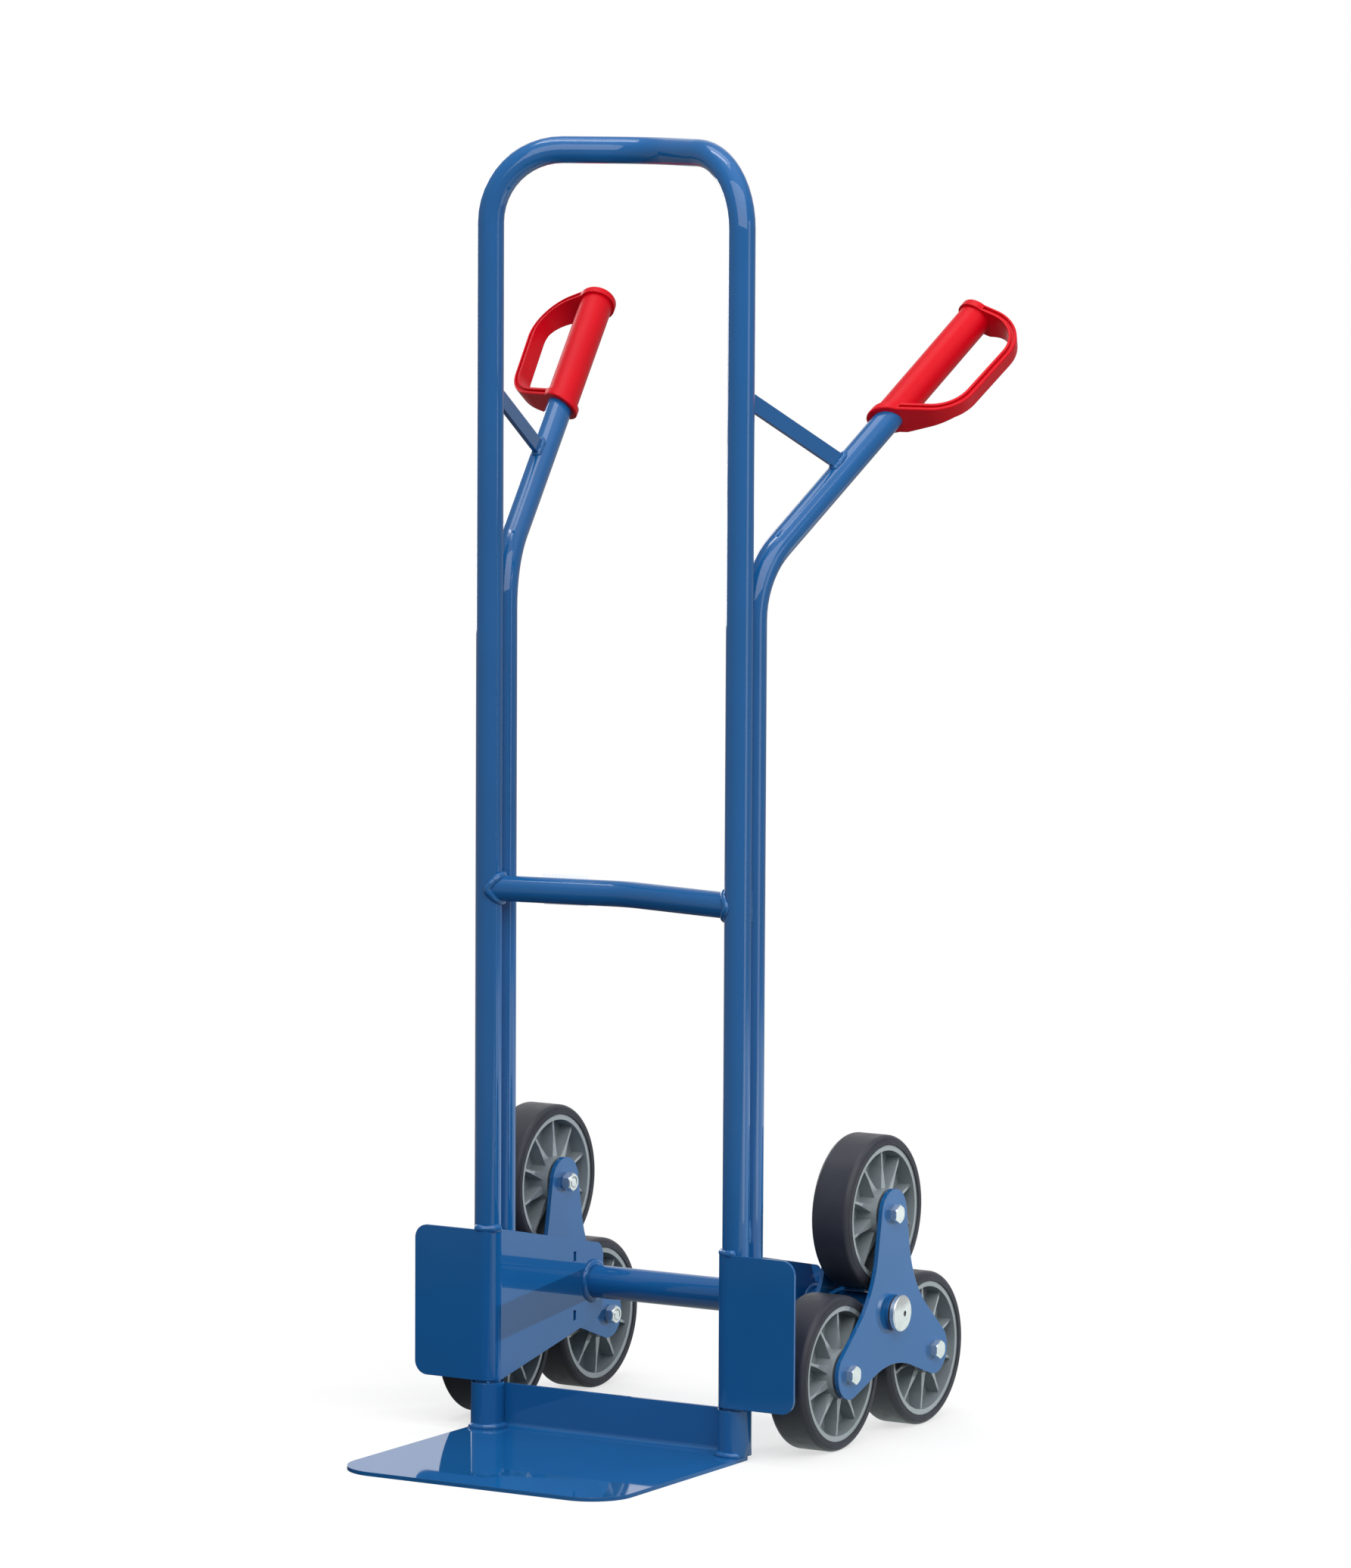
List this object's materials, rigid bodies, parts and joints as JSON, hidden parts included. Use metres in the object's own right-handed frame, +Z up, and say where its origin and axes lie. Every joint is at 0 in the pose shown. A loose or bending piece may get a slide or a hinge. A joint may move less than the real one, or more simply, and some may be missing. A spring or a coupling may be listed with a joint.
{
  "type": "stair-climbing sack truck",
  "caption": "Upright hand truck with a toe plate, a bowed tube frame, rear safety grips and star-shaped wheel sets that roll up stairs.",
  "frame": {"origin": "underside of the toe plate, midway between the uprights, below their axes", "axes": "+Z up along the uprights; +Y back, from the load side towards the axle and the person pushing; +X to the right along the axle, seen from the load side"},
  "size_m": [0.5654, 0.6176, 1.3],
  "materials": {
    "blue_paint": "glossy powder coat",
    "red_plastic": "satin moulded",
    "grey_plastic": "satin moulded",
    "tyre_rubber": "solid rubber, matte",
    "zinc": "bright zinc plating",
    "bare_steel": "drawn",
    "black_plastic": "moulded nylon",
    "white_plate": "smooth, blank"
  },
  "bodies": {
    "frame": {"hoop_tube": "blue_paint", "crossbar": "blue_paint", "handle_tube_right": "blue_paint", "handle_tube_left": "blue_paint", "strut_right": "blue_paint", "strut_left": "blue_paint", "grip_right": "red_plastic", "grip_left": "red_plastic", "toe_plate": "blue_paint", "socket_right": "blue_paint", "socket_left": "blue_paint", "bracket_right": "blue_paint", "bracket_left": "blue_paint", "axle_tube": "blue_paint", "axle_rings": "bare_steel", "axle_shaft": "bare_steel", "end_washer_right": "zinc", "end_washer_left": "zinc", "end_screw_right": "zinc", "end_screw_left": "zinc", "blank_plate": "white_plate"},
    "star_right": {"star_plate_inner_right": "blue_paint", "star_plate_outer_right": "blue_paint", "star_hub_right": "blue_paint", "star_bushes_right": "black_plastic", "wheel_bolts_right": "zinc", "wheel_nuts_right": "zinc", "wheel_sleeves_right": "zinc"},
    "wheel_top_right": {"rim_top_right": "grey_plastic", "tyre_top_right": "tyre_rubber", "wheel_bearing_top_right": "black_plastic"},
    "wheel_front_right": {"rim_front_right": "grey_plastic", "tyre_front_right": "tyre_rubber", "wheel_bearing_front_right": "black_plastic"},
    "wheel_rear_right": {"rim_rear_right": "grey_plastic", "tyre_rear_right": "tyre_rubber", "wheel_bearing_rear_right": "black_plastic"},
    "star_left": {"star_plate_inner_left": "blue_paint", "star_plate_outer_left": "blue_paint", "star_hub_left": "blue_paint", "star_bushes_left": "black_plastic", "wheel_bolts_left": "zinc", "wheel_nuts_left": "zinc", "wheel_sleeves_left": "zinc"},
    "wheel_top_left": {"rim_top_left": "grey_plastic", "tyre_top_left": "tyre_rubber", "wheel_bearing_top_left": "black_plastic"},
    "wheel_front_left": {"rim_front_left": "grey_plastic", "tyre_front_left": "tyre_rubber", "wheel_bearing_front_left": "black_plastic"},
    "wheel_rear_left": {"rim_rear_left": "grey_plastic", "tyre_rear_left": "tyre_rubber", "wheel_bearing_rear_left": "black_plastic"}
  },
  "joints": [
    {"name": "star_spin_right", "type": "hinge", "parent": "frame", "child": "star_right", "pos_m": [0.1925, 0.1775, 0.128], "axis": [1, 0, 0], "continuous": true},
    {"name": "star_spin_left", "type": "hinge", "parent": "frame", "child": "star_left", "pos_m": [-0.1925, 0.1775, 0.128], "axis": [1, 0, 0], "continuous": true},
    {"name": "wheel_spin_top_right", "type": "hinge", "parent": "star_right", "child": "wheel_top_right", "pos_m": [0.1925, 0.1775, 0.228], "axis": [1, 0, 0], "continuous": true},
    {"name": "wheel_spin_front_right", "type": "hinge", "parent": "star_right", "child": "wheel_front_right", "pos_m": [0.1925, 0.0909, 0.078], "axis": [1, 0, 0], "continuous": true},
    {"name": "wheel_spin_rear_right", "type": "hinge", "parent": "star_right", "child": "wheel_rear_right", "pos_m": [0.1925, 0.2641, 0.078], "axis": [1, 0, 0], "continuous": true},
    {"name": "wheel_spin_top_left", "type": "hinge", "parent": "star_left", "child": "wheel_top_left", "pos_m": [-0.1925, 0.1775, 0.228], "axis": [1, 0, 0], "continuous": true},
    {"name": "wheel_spin_front_left", "type": "hinge", "parent": "star_left", "child": "wheel_front_left", "pos_m": [-0.1925, 0.0909, 0.078], "axis": [1, 0, 0], "continuous": true},
    {"name": "wheel_spin_rear_left", "type": "hinge", "parent": "star_left", "child": "wheel_rear_left", "pos_m": [-0.1925, 0.2641, 0.078], "axis": [1, 0, 0], "continuous": true}
  ]
}
